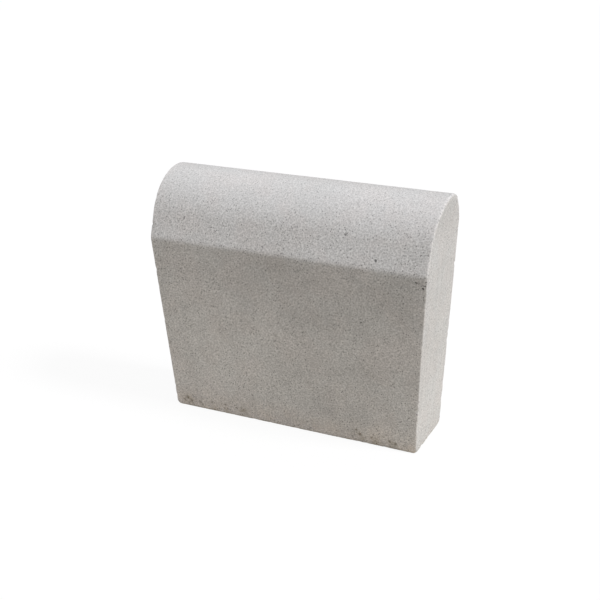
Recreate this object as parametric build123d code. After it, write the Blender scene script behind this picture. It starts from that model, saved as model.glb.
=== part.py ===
from build123d import *
import os

# Concrete kerb stone, pressed in one piece. Millimetres, +X along the kerb line, -Y is the road face, +Z up.
# The origin is on the base, under the middle of the length and of the thickness.

# Overall sizes
length = 350.0
height = 300.0
thickness = 110.0
base_width = 87.0

# How far each end leans in from the crown to the base, so that a joint between two stones closes at the top
end_undercut = 15.0

# Crown: a wide arch towards the road, and a tighter round into the upright back
crown_rise = 44.0
back_round_radius = 33.0

# Battered band from the foot of the arch down to the shoulder, where the stone is thickest
batter_height = 28.0
batter_inset = 11.5

# Edge radii left by the mould
crown_blend_radius = 36.0
shoulder_radius = 15.0
base_edge_radius = 2.0
end_edge_radius = 1.5

half_length = length / 2
back = thickness / 2
shoulder = -thickness / 2
base_front = back - base_width
crown_front = shoulder + batter_inset
crown_top = back - back_round_radius
crown_foot = height - crown_rise
shoulder_height = crown_foot - batter_height

with BuildPart() as kerb:
    # The section seen from the end, drawn sharp below the crown
    with BuildSketch(Plane.YZ.offset(-length)) as section:
        with BuildLine():
            Polyline(
                (crown_front, crown_foot),
                (shoulder, shoulder_height),
                (base_front, 0),
                (back, 0),
                (back, height - back_round_radius),
            )
            TangentArc((back, height - back_round_radius), (crown_top, height), tangent=(0, 1))
            TangentArc((crown_top, height), (crown_front, crown_foot), tangent=(-1, 0))
        make_face()

        def corner(y, z):
            """The corner of the section at a point."""
            return section.vertices().sort_by_distance((y, z))[0]

        # Its corners are softened: base edges, shoulder, then the foot of the arch
        fillet([corner(base_front, 0), corner(back, 0)], radius=base_edge_radius)
        fillet(corner(shoulder, shoulder_height), radius=shoulder_radius)
        fillet(corner(crown_front, crown_foot), radius=crown_blend_radius)
    # A bar twice as long as the stone, cut off at each end in a plane that leans in towards the base
    extrude(amount=2 * length)
    for side in (-1, 1):
        end = Plane(origin=(side * half_length, 0, height), z_dir=(side * height, 0, -end_undercut))
        split(bisect_by=end, keep=Keep.BOTTOM)
    # Both end faces are eased all round
    across = kerb.faces().sort_by(Axis.X)
    fillet(across[0].edges() + across[-1].edges(), radius=end_edge_radius)

kerb_stone = kerb.part
kerb_stone.label = "kerb_stone"

os.makedirs("parts", exist_ok=True)
export_step(kerb_stone, "parts/kerb_stone.step")
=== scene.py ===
import math

import bpy
from mathutils import Matrix, Vector, noise


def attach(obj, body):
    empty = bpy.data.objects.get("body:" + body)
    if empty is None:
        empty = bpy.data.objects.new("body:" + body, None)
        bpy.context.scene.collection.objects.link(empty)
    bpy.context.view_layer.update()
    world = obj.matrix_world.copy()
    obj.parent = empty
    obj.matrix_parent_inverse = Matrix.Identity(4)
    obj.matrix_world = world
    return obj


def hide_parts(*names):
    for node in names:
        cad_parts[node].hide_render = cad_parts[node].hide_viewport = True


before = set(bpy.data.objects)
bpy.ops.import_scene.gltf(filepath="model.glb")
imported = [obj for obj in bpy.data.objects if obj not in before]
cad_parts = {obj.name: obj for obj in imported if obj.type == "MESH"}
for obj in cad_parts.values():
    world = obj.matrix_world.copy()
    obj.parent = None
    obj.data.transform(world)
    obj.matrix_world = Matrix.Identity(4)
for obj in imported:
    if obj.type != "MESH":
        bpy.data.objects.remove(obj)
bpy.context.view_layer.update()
scene = bpy.context.scene

# Sizes of the stone in metres, the same as in the part's source
LENGTH = 0.350
HEIGHT = 0.300
THICKNESS = 0.110
BASE_WIDTH = 0.087
END_UNDERCUT = 0.015
CROWN_RISE = 0.044
BACK_ROUND_RADIUS = 0.033
BATTER_HEIGHT = 0.028
BATTER_INSET = 0.0115
CROWN_BLEND_RADIUS = 0.036
SHOULDER_RADIUS = 0.015
BASE_EDGE_RADIUS = 0.002
END_EDGE_RADIUS = 0.0015

# Places that follow from them
HALF_LENGTH = LENGTH / 2
BACK = THICKNESS / 2
BASE_FRONT = BACK - BASE_WIDTH
SHOULDER_HEIGHT = HEIGHT - CROWN_RISE - BATTER_HEIGHT

# Fineness of the mesh: faces, base, small radii, the strip beside each end, and the end faces
GRID = 0.0022
BASE_GRID = 0.005
CORNER_GRID = 0.0006
STRIP_GRID = 0.001
STRIP_RINGS = 6
ARRIS_STEPS = 4
CAP_RINGS = 34

# How far the wear of the end arrises reaches across the end and across the faces
ARRIS_ON_END = 0.0024
ARRIS_ON_FACE = 0.0014

# The foot of the stone, where it crumbles and is dirty: full up to one height, gone at the next
FOOT_FULL, FOOT_GONE = 0.002, 0.016

# How much of each base corner is worn away, measured along its edges
CORNER_WEAR = 0.0045

# How much of the end arrises is worn away at the rear of the crown, measured in the same way. It grows as the
# surface turns to the back and up, and eases off by a share where it looks most upward
REAR_WEAR = 0.0032
REAR_TURNS_BACK = (-0.1, 0.5)
REAR_TURNS_UP = (0.0, 0.3)
REAR_TOP = (0.4, 0.85)
REAR_TOP_EASE = 0.7

# The bow of the right end beside the shoulder: how far, between which heights it rises and falls,
# how far from the end it starts and is full, and where it fades from the road face to the back
END_BOW = 0.0022
BOW_RISES = (0.07, 0.235)
BOW_FALLS = (0.225, 0.270)
BOW_STARTS, BOW_FULL = 0.09, 0.01
BOW_FADES = (-0.05, 0.05)

# Relief of the cast surface: height of each set of waves, how many to a metre, and the pattern's start
RELIEF = (
    (0.00014, 14.0, (0.0, 0.0, 0.0)),
    (0.00008, 55.0, (3.1, 7.7, 1.3)),
    (0.00005, 260.0, (9.2, 0.4, 5.8)),
)

# How far the surface lies inside the mould's line, and how deep the chips and crumbs are
SURFACE_SINK = 0.0001
CHIP_DEPTH = 0.0018
CRUMB_DEPTH = 0.0010

# Patterns of the chips and crumbs: wide and fine waves to a metre, share of the fine ones, the pattern's
# start, and the level above which material is missing
CHIPS = {"wide": 120.0, "fine": 280.0, "fine_share": 0.5, "start": (2.0, 4.0, 8.0), "level": 0.25}
CRUMBS = {"wide": 130.0, "fine": 300.0, "fine_share": 0.4, "start": (6.0, 1.0, 2.0), "level": 0.1}


# The section

def line(start, end, step):
    """Points from start to end in even steps, without the last one."""
    count = max(1, math.ceil((end - start).length / step))
    return [start.lerp(end, i / count) for i in range(count)]


def arc(centre, start, end, step):
    """Points from start to end round a centre, the short way."""
    a = math.atan2(start.y - centre.y, start.x - centre.x)
    b = math.atan2(end.y - centre.y, end.x - centre.x)
    turn = (b - a + math.pi) % (2 * math.pi) - math.pi
    radius = (start - centre).length
    count = max(2, math.ceil(abs(turn) * radius / step))
    angles = [a + turn * i / count for i in range(count + 1)]
    return [centre + Vector((math.cos(t), math.sin(t))) * radius for t in angles]


def rounded_corner(before, corner, after, radius, step):
    """The arc that rounds a corner between two straight runs."""
    u = (before - corner).normalized()
    v = (after - corner).normalized()
    half = u.angle(v) / 2
    reach = radius / math.tan(half)
    centre = corner + (u + v).normalized() * (radius / math.sin(half))
    return arc(centre, corner + u * reach, corner + v * reach, step)


def section_loop():
    """Points (y, z) and normals of the section: up the back, over the crown and down the road face."""
    base_front = Vector((BASE_FRONT, 0.0))
    base_back = Vector((BACK, 0.0))
    shoulder = Vector((-BACK, SHOULDER_HEIGHT))
    foot = shoulder + Vector((BATTER_INSET, BATTER_HEIGHT))
    spring = Vector((BACK, HEIGHT - BACK_ROUND_RADIUS))
    top = Vector((BACK - BACK_ROUND_RADIUS, HEIGHT))
    crown_radius = ((top.x - foot.x) ** 2 + CROWN_RISE ** 2) / (2 * CROWN_RISE)
    crown_centre = top - Vector((0.0, crown_radius))
    # The blend at the foot of the arch touches the batter and the inside of the arch's circle
    along = (foot - shoulder).normalized()
    inward = Vector((along.y, -along.x))
    start = shoulder + inward * CROWN_BLEND_RADIUS - crown_centre
    reach = crown_radius - CROWN_BLEND_RADIUS
    b = start.dot(along)
    run = -b + math.sqrt(b * b - start.length_squared + reach * reach)
    blend_centre = crown_centre + start + along * run
    blend_low = blend_centre - inward * CROWN_BLEND_RADIUS
    blend_high = crown_centre + (blend_centre - crown_centre).normalized() * crown_radius
    crown = arc(Vector((top.x, spring.y)), spring, top, GRID)
    crown += arc(crown_centre, top, blend_high, GRID)[1:]
    crown += arc(blend_centre, blend_high, blend_low, GRID)[1:]
    rounds = [
        rounded_corner(base_front, base_back, spring, BASE_EDGE_RADIUS, CORNER_GRID),
        crown,
        rounded_corner(foot, shoulder, base_front, SHOULDER_RADIUS, GRID),
        rounded_corner(shoulder, base_front, base_back, BASE_EDGE_RADIUS, CORNER_GRID),
    ]
    loop = []
    for this, after, step in zip(rounds, rounds[1:] + rounds[:1], (GRID, GRID, GRID, BASE_GRID)):
        loop += this[:-1] + line(this[-1], after[0], step)
    normals = []
    for i in range(len(loop)):
        tangent = loop[(i + 1) % len(loop)] - loop[i - 1]
        normals.append(Vector((tangent.y, -tangent.x)).normalized())
    return loop, normals


def front_at(z):
    """Where the road face stands at a height below the shoulder."""
    return BASE_FRONT - (THICKNESS - BASE_WIDTH) * z / SHOULDER_HEIGHT


def half_length_at(z):
    """Half the stone's length at a height: the ends lean in towards the base."""
    return HALF_LENGTH - END_UNDERCUT * (1.0 - z / HEIGHT)


# The cast surface

def smooth(low, high, value):
    """A soft step from zero to one between two limits."""
    t = min(1.0, max(0.0, (value - low) / (high - low)))
    return t * t * (3 - 2 * t)


def missing(place, wide, fine, fine_share, start, level):
    """How much material is missing at a place, by noise in two sizes."""
    pattern = noise.noise(place * wide + Vector(start)) + fine_share * noise.noise(place * fine)
    return max(0.0, pattern - level)


def relief(place, arris, low):
    """How far the cast surface stands out from the mould's line, in metres."""
    waves = sum(height * noise.noise(place * often + Vector(start)) for height, often, start in RELIEF)
    chip = missing(place, **CHIPS) * CHIP_DEPTH * arris
    crumb = missing(place, **CRUMBS) * CRUMB_DEPTH * low
    return waves - SURFACE_SINK - chip - crumb


def worn_corner(place):
    """How far a point moves where a corner of the base is knocked off."""
    from_end = half_length_at(place.z) - abs(place.x)
    inward = 1.0 if place.y < BACK - BASE_WIDTH / 2 else -1.0
    from_face = place.y - BASE_FRONT if inward > 0 else BACK - place.y
    short = CORNER_WEAR - max(0.0, from_end) - max(0.0, from_face) - place.z
    if short <= 0:
        return Vector((0.0, 0.0, 0.0))
    return Vector((-math.copysign(1.0, place.x), inward, 1.0)) * (short / 3)


def worn_rear(place, outward, from_arris):
    """How far a point moves where an end arris is worn round at the rear of the crown."""
    reach = REAR_WEAR * smooth(*REAR_TURNS_BACK, outward.x) * smooth(*REAR_TURNS_UP, outward.y)
    reach *= 1.0 - REAR_TOP_EASE * smooth(*REAR_TOP, outward.y)
    short = max(0.0, reach - from_arris)
    return Vector((-math.copysign(1.0, place.x), -outward.x, -outward.y)) * (short / 2)


def bowed_end(place):
    """How far a point moves where the right end bows out beside the shoulder of the road face."""
    rise = smooth(*BOW_RISES, place.z) * (1.0 - smooth(*BOW_FALLS, place.z))
    near = smooth(HALF_LENGTH - BOW_STARTS, HALF_LENGTH - BOW_FULL, place.x)
    front = 1.0 - smooth(*BOW_FADES, place.y)
    return Vector((END_BOW * rise * near * front, 0.0, 0.0))


def ring_list():
    """Rings of the section from the left end to the right.

    Each has a share of the half length, a way back from the end, an inset, a size and its normal's lean.
    """
    r = END_EDGE_RADIUS
    left = [(-1.0, 0.0, r, i / CAP_RINGS, 1.0) for i in range(1, CAP_RINGS + 1)]
    for i in range(1, ARRIS_STEPS):
        a = math.pi / 2 * i / ARRIS_STEPS
        left.append((-1.0, r - r * math.cos(a), r - r * math.sin(a), 1.0, math.cos(a)))
    left += [(-1.0, r + STRIP_GRID * i, 0.0, 1.0, 0.0) for i in range(STRIP_RINGS)]
    strip = r + STRIP_GRID * STRIP_RINGS
    stations = round((LENGTH - 2 * strip) / GRID)
    run = [(2 * i / stations - 1, strip, 0.0, 1.0, 0.0) for i in range(stations + 1)]
    right = [(-share, setback, inset, size, -lean) for share, setback, inset, size, lean in reversed(left)]
    return left + run + right


def build_stone():
    """One closed mesh: rings of the section from end to end, capped, with eased arrises and cast relief."""
    loop, normals = section_loop()
    count = len(loop)
    girths = [0.0]
    for here, after in zip(loop, loop[1:]):
        girths.append(girths[-1] + (after - here).length)
    hub = Vector((0.0, HEIGHT / 2))
    rings = ring_list()
    verts = []
    weights = {}

    def add(point, normal, girth, arris, low, worn):
        """One point, moved by relief and wear, with the weights that the concrete reads."""
        wear = worn_corner(point) + bowed_end(point) + worn
        moved = point + normal * relief(point, arris, low) + wear
        moved.z = max(0.0, moved.z)
        verts.append(moved)
        # Weights by the way the surface looks: at an end, not upward, to the rear, which is darkened as
        # painted shade, and how strong the grain is
        end_face = abs(normal.x)
        values = {
            "arris": arris,
            "low": low,
            "end_face": end_face,
            "upright": (1.0 - end_face) * (1.0 - smooth(0.0, 0.25, normal.z)),
            "rear": (1.0 - end_face) * smooth(-0.36, 0.22, normal.y),
            "coarse": 1.0 - max(0.2 * end_face, 0.3 * smooth(0.3, 0.95, normal.z)),
            "girth": girth,
        }
        for name, value in values.items():
            weights.setdefault(name, []).append(value)

    def add_hub(side):
        """The middle of an end face."""
        add(Vector((side * half_length_at(hub.y), *hub)), Vector((side, 0, 0)), 0.0, 0.0, 0.0, Vector())

    add_hub(-1)
    for share, setback, inset, size, lean in rings:
        for point, outward, girth in zip(loop, normals, girths):
            inner = point - outward * inset
            from_rim = (1.0 - size) * (inner - hub).length
            drawn = hub + (inner - hub) * size
            x = share * (half_length_at(drawn.y) - setback)
            from_end = max(0.0, half_length_at(drawn.y) - END_EDGE_RADIUS - abs(x))
            arris = math.exp(-max(from_rim / ARRIS_ON_END, from_end / ARRIS_ON_FACE) ** 2)
            low = 1.0 - smooth(FOOT_FULL, FOOT_GONE, drawn.y)
            flat = math.sqrt(max(0.0, 1.0 - lean * lean))
            place = Vector((x, *drawn))
            worn = worn_rear(place, outward, from_rim + from_end)
            add(place, Vector((-lean, outward.x * flat, outward.y * flat)), girth, arris, low, worn)
    add_hub(1)

    # Faces, wound so that they look outward
    faces = []
    for i in range(count):
        j = (i + 1) % count
        faces.append((0, 1 + j, 1 + i))
        for k in range(len(rings) - 1):
            a = 1 + k * count
            b = a + count
            faces.append((a + i, a + j, b + j, b + i))
        a = 1 + (len(rings) - 1) * count
        faces.append((len(verts) - 1, a + i, a + j))

    mesh = bpy.data.meshes.new("kerb_stone_cast")
    mesh.from_pydata(verts, [], faces)
    mesh.polygons.foreach_set("use_smooth", [True] * len(mesh.polygons))
    for name, values in weights.items():
        mesh.attributes.new(name, "FLOAT", "POINT").data.foreach_set("value", values)
    mesh.update()
    stone = bpy.data.objects.new("kerb_stone_cast", mesh)
    scene.collection.objects.link(stone)
    return stone


# Shader nodes

class Nodes:
    """Short calls for a tree of shader nodes: each makes one or a few nodes and returns the output."""

    def __init__(self, owner):
        owner.use_nodes = True
        self.owner = owner
        self.tree = owner.node_tree
        self.tree.nodes.clear()

    def node(self, kind, inputs=(), **settings):
        """One node, with links where an input is a socket and constants elsewhere."""
        made = self.tree.nodes.new(kind)
        for key, value in settings.items():
            setattr(made, key, value)
        for key, value in dict(inputs).items():
            if isinstance(value, bpy.types.NodeSocket):
                self.tree.links.new(value, made.inputs[key])
            else:
                made.inputs[key].default_value = value
        return made

    def noise(self, place, scale, detail, roughness):
        inputs = {"Vector": place, "Scale": scale, "Detail": detail, "Roughness": roughness}
        return self.node("ShaderNodeTexNoise", inputs).outputs["Fac"]

    def patchy(self, place, scale, detail, depth):
        """Soft patches of noise that run from minus to plus a depth."""
        return self.span(self.noise(place, scale, detail, 0.6), 0.3, 0.7, -depth, depth)

    def cells(self, place, scale, dimensions="2D"):
        """Scattered grains: distance from the nearest one, and a random number of that grain."""
        inputs = {"Vector": place, "Scale": scale}
        made = self.node("ShaderNodeTexVoronoi", inputs, voronoi_dimensions=dimensions)
        split = self.node("ShaderNodeSeparateColor", {"Color": made.outputs["Color"]})
        return made.outputs["Distance"], split.outputs["Red"]

    def span(self, value, low, high, to_low, to_high):
        """A soft step between two values, reached at two limits."""
        inputs = {"Value": value, "From Min": low, "From Max": high, "To Min": to_low, "To Max": to_high}
        return self.node("ShaderNodeMapRange", inputs, interpolation_type="SMOOTHSTEP").outputs["Result"]

    def math(self, operation, a, b):
        return self.node("ShaderNodeMath", {0: a, 1: b}, operation=operation).outputs[0]

    def add(self, total, *others):
        for other in others:
            total = self.math("ADD", total, other)
        return total

    def times(self, product, *others):
        for other in others:
            product = self.math("MULTIPLY", product, other)
        return product

    def most(self, largest, *others):
        for other in others:
            largest = self.math("MAXIMUM", largest, other)
        return largest

    def mix(self, factor, a, b, blend="MIX"):
        inputs = {0: factor, 6: a, 7: b}
        return self.node("ShaderNodeMix", inputs, data_type="RGBA", blend_type=blend).outputs[2]

    def place(self):
        return self.node("ShaderNodeTexCoord").outputs["Object"]

    def parts(self, vector):
        """The x, y and z of a vector."""
        return tuple(self.node("ShaderNodeSeparateXYZ", {0: vector}).outputs)

    def flat(self, x, y):
        """A vector of two values."""
        return self.node("ShaderNodeCombineXYZ", {0: x, 1: y}).outputs[0]

    def vectors(self, operation, *values):
        """Arithmetic of vectors that gives a vector."""
        made = self.node("ShaderNodeVectorMath", dict(enumerate(values)), operation=operation)
        return made.outputs["Vector"]

    def measure(self, operation, *values):
        """Arithmetic of vectors that gives a number."""
        made = self.node("ShaderNodeVectorMath", dict(enumerate(values)), operation=operation)
        return made.outputs["Value"]

    def patch(self, place, middle, core, radius):
        """One inside a core, fading to zero at a radius."""
        return self.span(self.measure("DISTANCE", place, middle), core, radius, 1.0, 0.0)

    def attribute(self, name):
        return self.node("ShaderNodeAttribute", attribute_name=name).outputs["Fac"]

    def seen(self):
        """One for rays that show a surface to the camera, a mirror or glass, zero for bounced light."""
        path = self.node("ShaderNodeLightPath").outputs
        return self.most(path["Is Camera Ray"], path["Is Glossy Ray"], path["Is Transmission Ray"])


# Concrete

# Colours of the cement paste, tints of its patches, and colours of dust, of dirt and of the painted contact
# shadow at the ground edge, of open pores with dirt and painted shade in them, and of worn arrises
PASTE_PALE = (0.576, 0.573, 0.569, 1)
PASTE_DARK = (0.546, 0.543, 0.537, 1)
PASTE_PINK = (1.008, 0.997, 0.990, 1)
PASTE_GREEN = (0.994, 1.001, 1.000, 1)
DUST = (0.655, 0.608, 0.560, 1)
DIRT_AND_CONTACT_SHADE = (0.32, 0.285, 0.21, 1)
PORE = (0.15, 0.13, 0.09, 1)
WORN = (0.72, 0.705, 0.69, 1)

# How many grains of each kind, or waves of each pattern, fit in a metre
SAND_GRAINS = 980.0
DARK_GRAINS = 480.0
PACKED_GRAINS = 450.0
DUST_GRAINS = 2200.0
SMALL_PINHOLES = 60.0
PASTE_CLOUDS = 11.0
PASTE_TINTS = 26.0
WIDE_BLOTCHES = 34.0
SMALL_BLOTCHES = 110.0
END_STREAKS = 260.0
ARRIS_CHIPS = 330.0
FOOT_DUST = 45.0
FOOT_DAMP = 90.0
FOOT_DAMP_GAPS = 260.0
FOOT_HOLES = 300.0
GROUND_EDGE_GAPS = 170.0
RIM_WAVES = 480.0

# How the noise of the end streaks is squeezed, which draws the streaks out in height
STREAK_SQUEEZE = (1.0, 1.0, 0.06)

# Heights between which a shade changes
# Painted shade under the shoulder of the road face
PAINTED_SHADE_UNDER_SHOULDER = (0.12, 0.225)
# Paler foot of the road face: pale dust, and painted light that lifts the contact shade there
PALE_FOOT = (0.0, 0.014)
# Painted shade at the top of the end faces
PAINTED_SHADE_END_TOP = (0.25, 0.295)
END_FOOT = (0.0, 0.035)
DUSTY_FOOT = (0.0, 0.04)
# The dark edge at the ground: dirt, and painted contact shadow
GROUND_EDGE = (0.0008, 0.0034)
WORN_CROWN = (0.205, 0.235)

# Ways along the stone between which a shade changes
LEFT_TO_RIGHT = (-0.16, 0.12)
PALE_FOOT_ENDS = (0.03, 0.12)

# Turns of the patterns in radians, which keep their rows off the edges of the stone
GRAIN_TURN = 0.6
PATTERN_TURN = (0.6, 0.4, 0.9)

# Level of the concrete's shade before it is darkened, the painted shade of the faces turned to the rear, and
# the shade of a pinhole, which is painted shade in the hole
SHADE_LEVEL = 1.085
PAINTED_REAR_SHADE = 0.90
PINHOLE_PAINTED_SHADE = 0.25

# How far the rims of pinholes, pores and stains are shaken, in metres
RIM_SHAKE = 0.006

# Height of the bumps in metres, and how strongly they show
BUMP_HEIGHT = 0.0003
BUMP_STRENGTH = 0.5

# Open pinholes, drawn dark as painted shade in the holes, and dark grains that stand out: place on the
# surface, and radius
PINHOLES = (
    ((0.074, -0.042, 0.260), 0.0021),
    ((0.096, -0.048, 0.161), 0.0017),
    ((0.113, -0.051, 0.238), 0.0021),
    ((0.124, -0.047, 0.145), 0.0013),
    ((0.148, -0.039, 0.266), 0.0014),
    ((-0.130, -0.044, 0.254), 0.0014),
    ((-0.042, -0.045, 0.128), 0.0013),
    ((-0.019, -0.043, 0.111), 0.0012),
    ((-0.003, -0.041, 0.090), 0.0013),
    ((0.158, -0.054, 0.230), 0.0014),
    ((0.161, -0.054, 0.220), 0.0014),
    ((0.173, -0.054, 0.223), 0.0015),
    ((0.171, -0.054, 0.218), 0.0016),
    ((0.169, -0.054, 0.215), 0.0018),
    ((0.170, -0.053, 0.201), 0.0017),
    ((0.174, -0.051, 0.230), 0.0019),
    ((0.171, -0.045, 0.254), 0.0014),
    ((0.171, -0.046, 0.250), 0.0013),
    ((0.163, -0.046, 0.249), 0.0014),
    ((0.163, -0.043, 0.258), 0.0013),
    ((0.161, -0.004, 0.018), 0.0014),
)

# Soft clouds on the road face: way along the stone, height, radius, and how much lighter or darker
CLOUDS = (
    (-0.010, 0.210, 0.035, -0.05),
    (0.025, 0.195, 0.040, -0.05),
    (0.030, 0.150, 0.045, -0.045),
    (0.140, 0.092, 0.040, -0.03),
    (-0.085, 0.085, 0.090, 0.055),
    (-0.065, 0.190, 0.045, -0.05),
    (-0.028, 0.200, 0.030, -0.04),
    (-0.060, 0.165, 0.035, -0.03),
    (0.015, 0.172, 0.025, -0.04),
    (0.055, 0.188, 0.025, -0.03),
    (0.055, 0.035, 0.040, -0.08),
    (-0.100, 0.030, 0.045, 0.05),
    (-0.040, 0.055, 0.040, 0.045),
    (-0.025, 0.115, 0.035, 0.04),
    (-0.055, 0.135, 0.030, 0.03),
    (-0.145, 0.150, 0.030, 0.035),
    (0.102, 0.130, 0.035, 0.04),
    (0.142, 0.125, 0.030, -0.03),
    (-0.020, 0.012, 0.025, 0.06),
    (0.050, 0.072, 0.030, -0.03),
    (0.092, 0.045, 0.030, -0.03),
)

# Dark open pores along the foot of the road face, dark with dirt and painted shade in them: way along the
# stone, height, and radius
FOOT_PORES = (
    (-0.149, 0.008, 0.0021),
    (-0.144, 0.012, 0.0026),
    (-0.138, 0.009, 0.0025),
    (-0.126, 0.009, 0.0022),
    (-0.123, 0.006, 0.0018),
    (-0.109, 0.012, 0.0018),
    (-0.090, 0.013, 0.0022),
    (-0.075, 0.012, 0.0017),
    (-0.028, 0.024, 0.0016),
    (0.086, 0.017, 0.0020),
    (0.090, 0.012, 0.0028),
    (0.105, 0.010, 0.0019),
    (0.120, 0.014, 0.0016),
    (0.128, 0.010, 0.0027),
    (0.135, 0.008, 0.0022),
    (0.145, 0.008, 0.0017),
)

# Damp dirt drawn up from the ground, placed in the same way
FOOT_STAINS = (
    (-0.143, 0.008, 0.013),
    (-0.106, 0.003, 0.008),
    (-0.088, 0.004, 0.008),
    (-0.065, 0.009, 0.009),
    (0.094, 0.006, 0.009),
    (0.110, 0.005, 0.011),
    (0.132, 0.006, 0.010),
)


def on_front(along, height):
    """A place on the road face below the shoulder."""
    return along, front_at(height), height


def grain_place(n, place, end_face):
    """A flat place for the grain: along and round the long faces, or across and up an end."""
    x, y, z = n.parts(place)
    on_end = n.math("GREATER_THAN", end_face, 0.5)
    flat = n.mix(on_end, n.flat(x, n.attribute("girth")), n.flat(y, z))
    return n.node(
        "ShaderNodeVectorRotate", {"Vector": flat, "Angle": GRAIN_TURN}, rotation_type="Z_AXIS"
    ).outputs[0]


def ragged_place(n, place):
    """A place shaken by fine noise, so that what is drawn by distance from a point has a ragged rim."""
    inputs = {"Vector": place, "Scale": RIM_WAVES, "Detail": 2.0}
    shake = n.node("ShaderNodeTexNoise", inputs).outputs["Color"]
    shake = n.vectors("SUBTRACT", shake, (0.5, 0.5, 0.5))
    return n.vectors("MULTIPLY_ADD", shake, (RIM_SHAKE, RIM_SHAKE, RIM_SHAKE), place)


def paste(n, turned):
    """Colour of the cement paste: wide clouds, and small patches that lean to pink or to green."""
    wide = n.noise(turned, PASTE_CLOUDS, 3.0, 0.55)
    tint = n.noise(turned, PASTE_TINTS, 2.0, 0.6)
    colour = n.mix(n.span(wide, 0.3, 0.7, 0.0, 1.0), PASTE_PALE, PASTE_DARK)
    pink = n.mix(1.0, colour, PASTE_PINK, "MULTIPLY")
    green = n.mix(1.0, colour, PASTE_GREEN, "MULTIPLY")
    return n.mix(n.span(tint, 0.35, 0.65, 0.0, 1.0), pink, green)


def grains(n, skin, turned):
    """Sand, dark grains, packed grains and dust: how they lighten or darken, and the bumps they make."""
    sand_away, sand_tone = n.cells(skin, SAND_GRAINS)
    sand_rise = n.span(sand_away, 0.25, 0.6, 1.0, 0.45)
    sand = n.times(sand_rise, n.span(sand_tone, 0.0, 1.0, -0.10, 0.10))
    dark_away, dark_pick = n.cells(skin, DARK_GRAINS)
    dark = n.times(n.span(dark_away, 0.22, 0.42, 1.0, 0.0), n.span(dark_pick, 0.78, 0.97, 0.0, -0.6))
    packed_away = n.cells(skin, PACKED_GRAINS)[0]
    packed = n.span(packed_away, 0.2, 0.7, -0.18, 0.10)
    dust = n.patchy(turned, DUST_GRAINS, 1.0, 0.14)
    tone = n.add(sand, dark, packed, dust)
    bumps = n.add(n.times(sand_rise, 0.7), n.times(dust, 2.0))
    return tone, bumps


def blotches(n, place, turned):
    """Soft blotches, painted shade under the shoulder, darker to the right, and paler at the foot on the left,
    from pale dust and from painted light that lifts the contact shade.
    """
    x, _, z = n.parts(place)
    tone = n.add(
        n.patchy(turned, WIDE_BLOTCHES, 3.0, 0.045),
        n.patchy(turned, SMALL_BLOTCHES, 2.0, 0.02),
        # Painted shade under the shoulder
        n.span(z, *PAINTED_SHADE_UNDER_SHOULDER, 0.0, -0.05),
        n.span(x, *LEFT_TO_RIGHT, 0.035, -0.035),
        # Paler foot on the left: pale dust, and painted light that lifts the contact shade
        n.times(n.span(z, *PALE_FOOT, 1.0, 0.0), n.span(x, *PALE_FOOT_ENDS, 0.14, -0.02)),
    )
    for along, height, radius, depth in CLOUDS:
        tone = n.add(tone, n.times(n.patch(place, on_front(along, height), 0.0, radius), depth))
    return tone


def streaks(n, place):
    """Streaks down the end faces from the mould, which are duller at the top, as painted shade, and at the
    foot.
    """
    z = n.parts(place)[2]
    drawn_down = n.vectors("MULTIPLY", place, STREAK_SQUEEZE)
    return n.add(
        n.patchy(drawn_down, END_STREAKS, 2.0, 0.05),
        n.span(z, *PAINTED_SHADE_END_TOP, 0.0, -0.05),
        n.span(z, *END_FOOT, -0.05, 0.0),
    )


def pinholes(n, turned, ragged):
    """Open pinholes: small ones all over, and a few that stand out, with ragged rims."""
    away, pick = n.cells(turned, SMALL_PINHOLES, "3D")
    pit = n.span(n.math("DIVIDE", away, n.span(pick, 0.3, 1.0, 0.01, 0.05)), 0.6, 1.0, 1.0, 0.0)
    for middle, radius in PINHOLES:
        pit = n.most(pit, n.patch(ragged, middle, 0.4 * radius, radius))
    return pit


def dirty_and_shaded_foot(n, colour, shade, place, turned, ragged, end_face):
    """Dirt at the foot: pale dust, ragged brown patches, dark open pores with dirt and painted shade in them,
    and a dark edge on the ground of dirt and painted contact shadow.
    """
    z = n.parts(place)[2]
    low = n.attribute("low")
    dusty = n.times(
        n.span(z, *DUSTY_FOOT, 1.0, 0.0),
        n.span(n.noise(turned, FOOT_DUST, 3.0, 0.6), 0.3, 0.7, 0.25, 0.75),
        n.math("SUBTRACT", 1.0, end_face),
    )
    colour = n.mix(dusty, colour, n.mix(1.0, DUST, shade, "MULTIPLY"))

    stain = n.times(low, n.span(n.noise(turned, FOOT_DAMP, 3.0, 0.65), 0.5, 0.75, 0.0, 0.25))
    for along, height, radius in FOOT_STAINS:
        stain = n.most(stain, n.patch(ragged, on_front(along, height), 0.1 * radius, radius))
    broken = n.span(n.noise(turned, FOOT_DAMP_GAPS, 3.0, 0.7), 0.4, 0.62, 0.1, 0.6)
    colour = n.mix(n.times(stain, broken), colour, DIRT_AND_CONTACT_SHADE)

    pores = n.times(low, n.span(n.noise(turned, FOOT_HOLES, 1.0, 0.5), 0.66, 0.74, 0.0, 0.8))
    for along, height, radius in FOOT_PORES:
        pores = n.most(pores, n.patch(ragged, on_front(along, height), 0.1 * radius, 1.2 * radius))
    # Pores drawn dark: dirt, and painted shade in the holes
    colour = n.mix(n.times(pores, 0.85), colour, PORE)

    # A dark edge at the ground: dirt, and painted contact shadow where the stone stands
    edge = n.span(z, *GROUND_EDGE, 1.0, 0.0)
    gaps = n.span(n.noise(turned, GROUND_EDGE_GAPS, 3.0, 0.7), 0.42, 0.6, 0.1, 0.75)
    return n.mix(n.times(edge, gaps), colour, DIRT_AND_CONTACT_SHADE)


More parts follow.
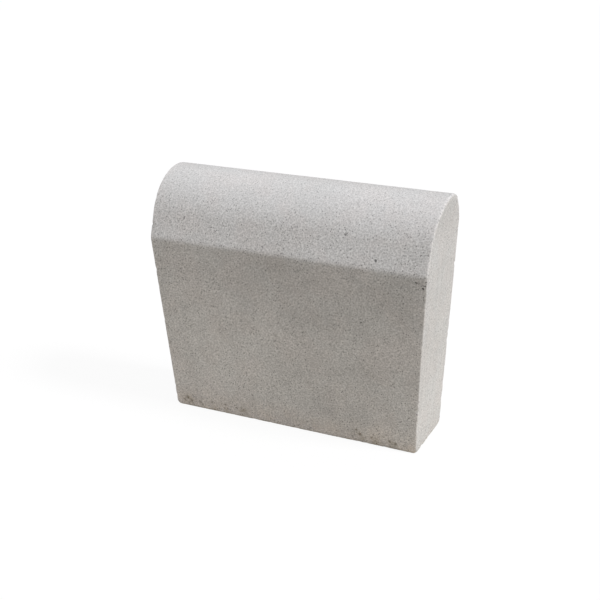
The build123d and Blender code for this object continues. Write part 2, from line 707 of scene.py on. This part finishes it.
def worn_arrises(n, colour, place, turned, pit):
    """Arrises worn pale in small chips, most of all round the crown, but not in a pinhole."""
    z = n.parts(place)[2]
    worn = n.times(
        n.attribute("arris"),
        n.span(n.noise(turned, ARRIS_CHIPS, 3.0, 0.75), 0.46, 0.60, 0.0, 1.0),
        n.span(z, *WORN_CROWN, 0.35, 0.95),
        n.span(pit, 0.0, 1.0, 1.0, 0.0),
    )
    return n.mix(worn, colour, WORN)


def concrete():
    """Light grey pressed concrete: sandy grain, clouds, pinholes, pale worn arrises and a dirty foot, with
    painted shade at the rear, under the shoulder, at the top of the ends, in holes and at the ground edge, and
    painted light at the foot.
    """
    n = Nodes(bpy.data.materials.new("cast_concrete"))
    place = n.place()
    turned = n.node(
        "ShaderNodeVectorRotate", {"Vector": place, "Rotation": PATTERN_TURN}, rotation_type="EULER_XYZ"
    ).outputs[0]
    ragged = ragged_place(n, place)
    end_face = n.attribute("end_face")
    tone, bumps = grains(n, grain_place(n, place, end_face), turned)
    pit = pinholes(n, turned, ragged)
    shade = n.times(
        n.add(SHADE_LEVEL, n.times(tone, n.attribute("coarse"))),
        n.add(1.0, n.times(blotches(n, place, turned), n.attribute("upright"))),
        # Painted shade on the faces turned to the rear
        n.span(n.attribute("rear"), 0.0, 1.0, 1.0, PAINTED_REAR_SHADE),
        # Streaks on the ends, with painted shade at their top
        n.add(1.0, n.times(streaks(n, place), end_face)),
        # Pinholes darkened: painted shade in the holes
        n.span(pit, 0.0, 1.0, 1.0, PINHOLE_PAINTED_SHADE),
    )
    colour = n.mix(1.0, paste(n, turned), shade, "MULTIPLY")
    colour = dirty_and_shaded_foot(n, colour, shade, place, turned, ragged, end_face)
    colour = worn_arrises(n, colour, place, turned, pit)
    bumps = n.math("SUBTRACT", bumps, n.times(pit, 1.6))
    bump = n.node(
        "ShaderNodeBump", {"Strength": BUMP_STRENGTH, "Distance": BUMP_HEIGHT, "Height": bumps}
    ).outputs["Normal"]
    shader = n.node(
        "ShaderNodeBsdfPrincipled",
        {"Base Color": colour, "Normal": bump, "Roughness": 0.93, "Specular IOR Level": 0.25},
    )
    n.node("ShaderNodeOutputMaterial", {"Surface": shader.outputs[0]})
    return n.owner


stone = build_stone()
stone.data.materials.append(concrete())
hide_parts("kerb_stone")
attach(stone, "root")


# Floor, light and camera

WHITE = (1, 1, 1, 1)

# The floor: its reach, what it throws back near the stone and far off and how far those are, what is seen,
# and the share of plain white in that
FLOOR_REACH = 12.0
FLOOR_FADES = (0.25, 1.2)
FLOOR_NEAR = (0.540, 0.492, 0.400, 1)
FLOOR_FAR = (0.222, 0.202, 0.161, 1)
FLOOR_SEEN = (0.95, 0.95, 0.95, 1)
FLOOR_WHITE = 0.92

# The sky's light, and the sun: how strong, how wide it looks, and the way its light goes
SKY_LIGHT = (0.995, 0.975, 1.005, 1)
SKY_STRENGTH = 0.59
SUN_STRENGTH = 2.5
SUN_WIDTH = math.radians(14)
SUN_WAY = (-0.525, 0.0, -0.608)

# The camera: place in metres, turns in degrees, and its lens in millimetres
CAMERA_PLACE = (0.51641, -1.10473, 0.64172)
CAMERA_TURN, CAMERA_DIP, CAMERA_ROLL = 25.13, 21.74, -0.50
CAMERA_SENSOR = 36.0
CAMERA_LENS = 66.19


def floor_material():
    """Near white with a soft shadow where it is seen, and warm in the light that it throws on the stone."""
    n = Nodes(bpy.data.materials.new("pale_floor"))
    seen = n.seen()
    away = n.measure("LENGTH", n.place())
    bounce = n.mix(n.span(away, *FLOOR_FADES, 0.0, 1.0), FLOOR_NEAR, FLOOR_FAR)
    matt = n.node("ShaderNodeBsdfDiffuse", {"Color": n.mix(seen, bounce, FLOOR_SEEN)})
    white = n.node("ShaderNodeEmission", {"Color": WHITE, "Strength": 1.0})
    share = n.times(seen, FLOOR_WHITE)
    mixed = n.node("ShaderNodeMixShader", {0: share, 1: matt.outputs[0], 2: white.outputs[0]})
    n.node("ShaderNodeOutputMaterial", {"Surface": mixed.outputs[0]})
    return n.owner


def sky():
    """An even pale sky for light, and white where it is seen."""
    n = Nodes(bpy.data.worlds.new("sky"))
    light = n.node("ShaderNodeBackground", {"Color": SKY_LIGHT, "Strength": SKY_STRENGTH})
    white = n.node("ShaderNodeBackground", {"Color": WHITE, "Strength": 1.0})
    mixed = n.node("ShaderNodeMixShader", {0: n.seen(), 1: light.outputs[0], 2: white.outputs[0]})
    n.node("ShaderNodeOutputWorld", {"Surface": mixed.outputs[0]})
    return n.owner


floor_corners = [(x * FLOOR_REACH, y * FLOOR_REACH, 0) for x, y in ((-1, -1), (1, -1), (1, 1), (-1, 1))]
floor_mesh = bpy.data.meshes.new("floor")
floor_mesh.from_pydata(floor_corners, [], [(0, 1, 2, 3)])
floor = bpy.data.objects.new("floor", floor_mesh)
scene.collection.objects.link(floor)
floor.data.materials.append(floor_material())

scene.world = sky()

key = bpy.data.lights.new("key", "SUN")
key.energy = SUN_STRENGTH
key.angle = SUN_WIDTH
key_light = bpy.data.objects.new("key", key)
key_light.rotation_euler = Vector(SUN_WAY).to_track_quat("-Z", "Y").to_euler()
scene.collection.objects.link(key_light)

camera = bpy.data.cameras.new("camera")
camera.sensor_width = CAMERA_SENSOR
camera.lens = CAMERA_LENS
view = bpy.data.objects.new("camera", camera)
turn = Matrix.Rotation(math.radians(CAMERA_TURN), 4, "Z")
tilt = Matrix.Rotation(math.radians(90 - CAMERA_DIP), 4, "X")
roll = Matrix.Rotation(math.radians(CAMERA_ROLL), 4, "Z")
view.matrix_world = Matrix.Translation(CAMERA_PLACE) @ turn @ tilt @ roll
scene.collection.objects.link(view)
scene.camera = view

scene.view_settings.view_transform = "Standard"
